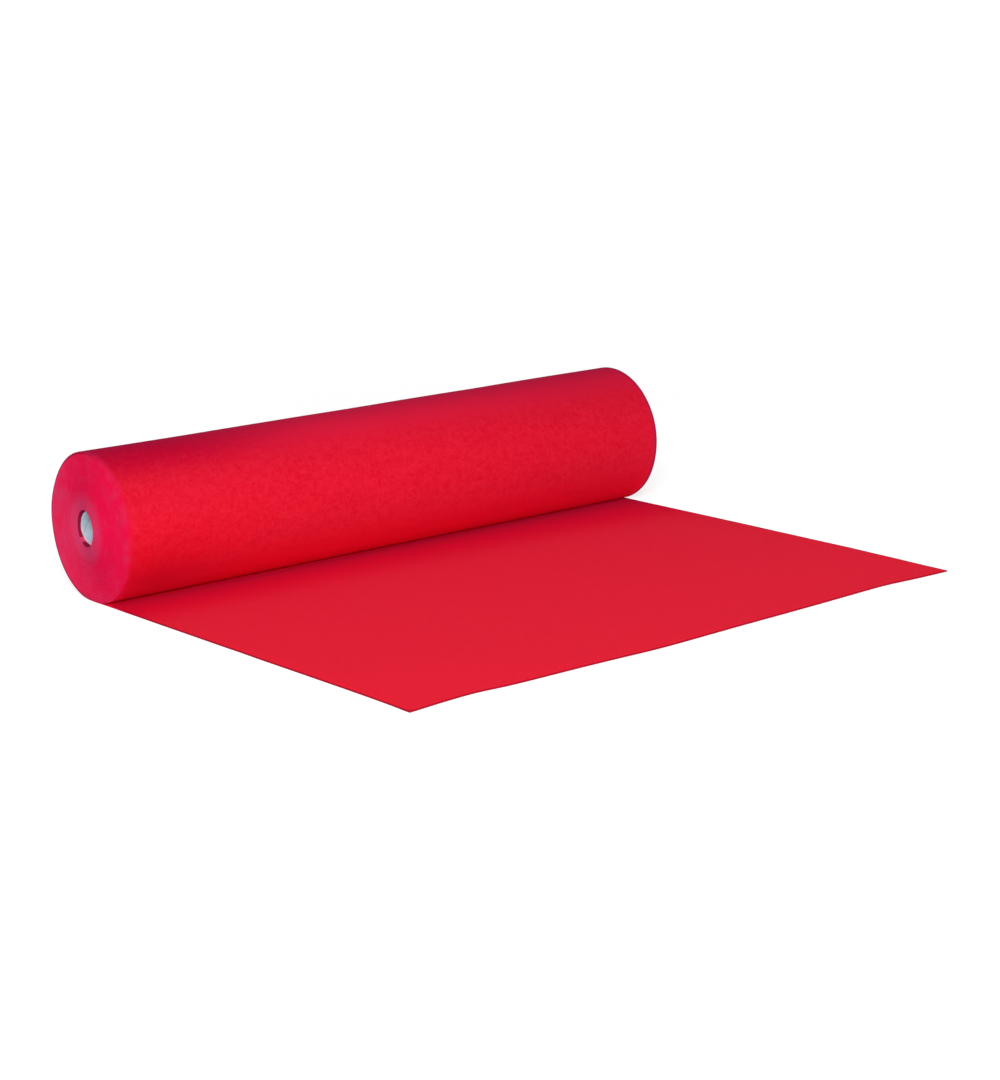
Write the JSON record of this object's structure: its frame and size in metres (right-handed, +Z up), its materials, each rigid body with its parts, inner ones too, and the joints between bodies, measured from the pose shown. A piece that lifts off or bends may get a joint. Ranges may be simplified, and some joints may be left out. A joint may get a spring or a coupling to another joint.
{
  "type": "roll of felt",
  "caption": "Wide roll of red felt on a board tube, its loose end laid out flat in front with a slightly uneven cut edge.",
  "frame": {"origin": "on the floor, at the middle of the felt's plan", "axes": "+X along the roll's axis towards its dished end, +Y from the loose end towards the roll, +Z up"},
  "size_m": [1.0162, 0.827, 0.215],
  "materials": {
    "red_felt": "needled felt, matt, with a fine fuzz",
    "board": "smooth pale grey board, matt"
  },
  "bodies": {
    "root": {"felt": "red_felt", "core_tube": "board"}
  },
  "joints": []
}
